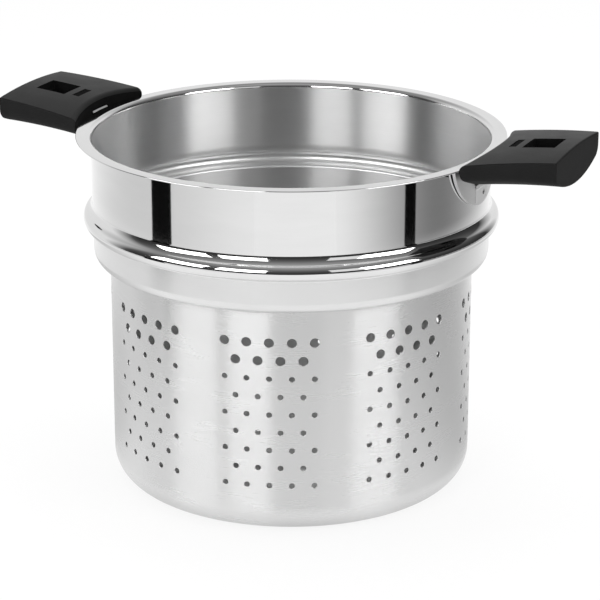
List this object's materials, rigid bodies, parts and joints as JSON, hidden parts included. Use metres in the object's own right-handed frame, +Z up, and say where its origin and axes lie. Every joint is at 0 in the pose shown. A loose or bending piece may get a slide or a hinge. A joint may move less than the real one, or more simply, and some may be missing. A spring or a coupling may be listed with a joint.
{
  "type": "pasta strainer insert",
  "caption": "Deep perforated stainless strainer insert for a pasta pot, with a flat flange, a polished collar, a bead that rests on the pot's rim and black side grips.",
  "frame": {"origin": "centre of the base's flat underside, on the axis of the shell", "axes": "+Z up along the shell's axis, +X and -X through the middles of the grips"},
  "size_m": [0.3594, 0.258, 0.2283],
  "materials": {
    "shell_steel": "satin brushed wall and inside, mirror-polished collar and bead",
    "bracket_steel": "satin stamped plate",
    "grip_plastic": "matte black moulding",
    "fastener_steel": "plain machined steel"
  },
  "bodies": {
    "root": {"strainer_shell": "shell_steel", "handle_bracket_right": "bracket_steel", "handle_bracket_left": "bracket_steel", "handle_grip_right": "grip_plastic", "handle_grip_left": "grip_plastic", "handle_screw_right": "fastener_steel", "handle_screw_left": "fastener_steel", "handle_washer_right": "fastener_steel", "handle_washer_left": "fastener_steel"}
  },
  "joints": []
}
